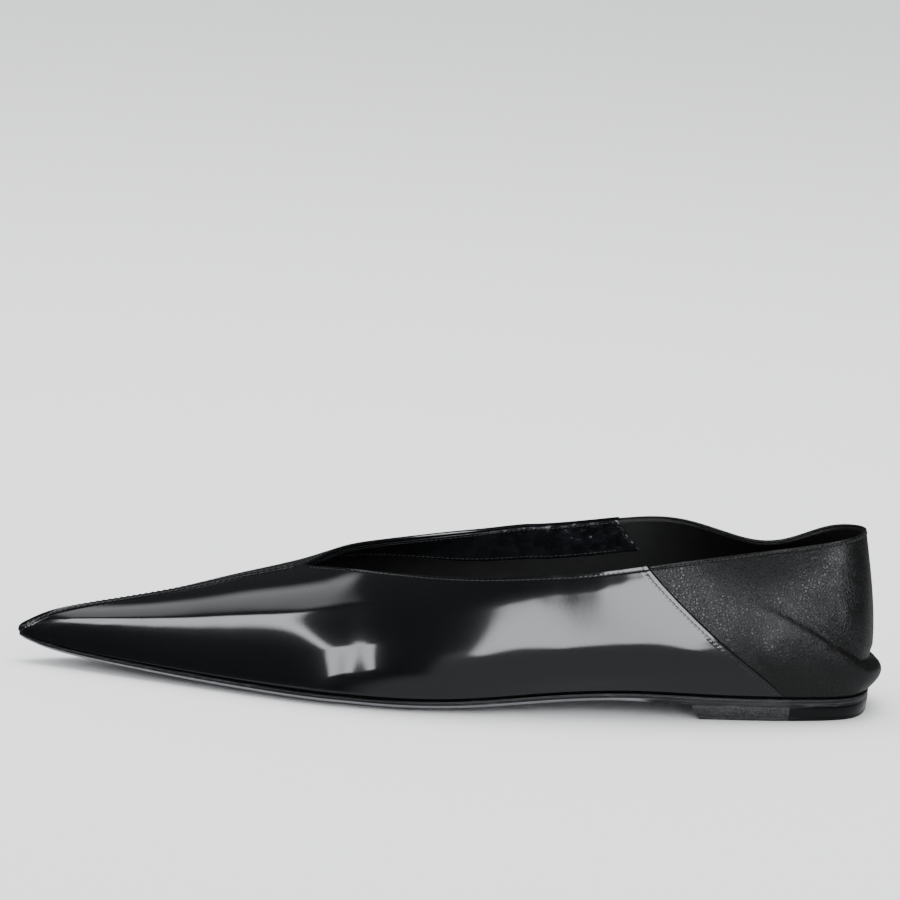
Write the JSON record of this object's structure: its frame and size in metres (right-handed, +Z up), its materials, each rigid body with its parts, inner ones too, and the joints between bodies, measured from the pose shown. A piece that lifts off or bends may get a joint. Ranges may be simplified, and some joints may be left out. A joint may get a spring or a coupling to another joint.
{
  "type": "pointed toe flat shoe",
  "caption": "Black pointed toe flat shoe: glossy vamp with a centre seam and V throat, soft matte back panel with a folded roll over a low stacked heel, thin outsole.",
  "frame": {"origin": "on the floor under the middle of the shoe's box", "axes": "-X towards the toe, +X towards the heel, -Y the outer side of the foot, +Y the inner side, +Z up"},
  "size_m": [0.2758, 0.0842, 0.0579],
  "materials": {
    "patent_leather": "high gloss, polished smooth",
    "soft_leather": "soft matte with a fine grain",
    "sole_leather": "satin black edge, worn matte tread",
    "sock_leather": "matte",
    "heel_stack": "satin, painted black"
  },
  "bodies": {
    "root": {"vamp": "patent_leather", "back_panel": "soft_leather", "outsole": "sole_leather", "insole": "sock_leather", "heel": "heel_stack"}
  },
  "joints": []
}
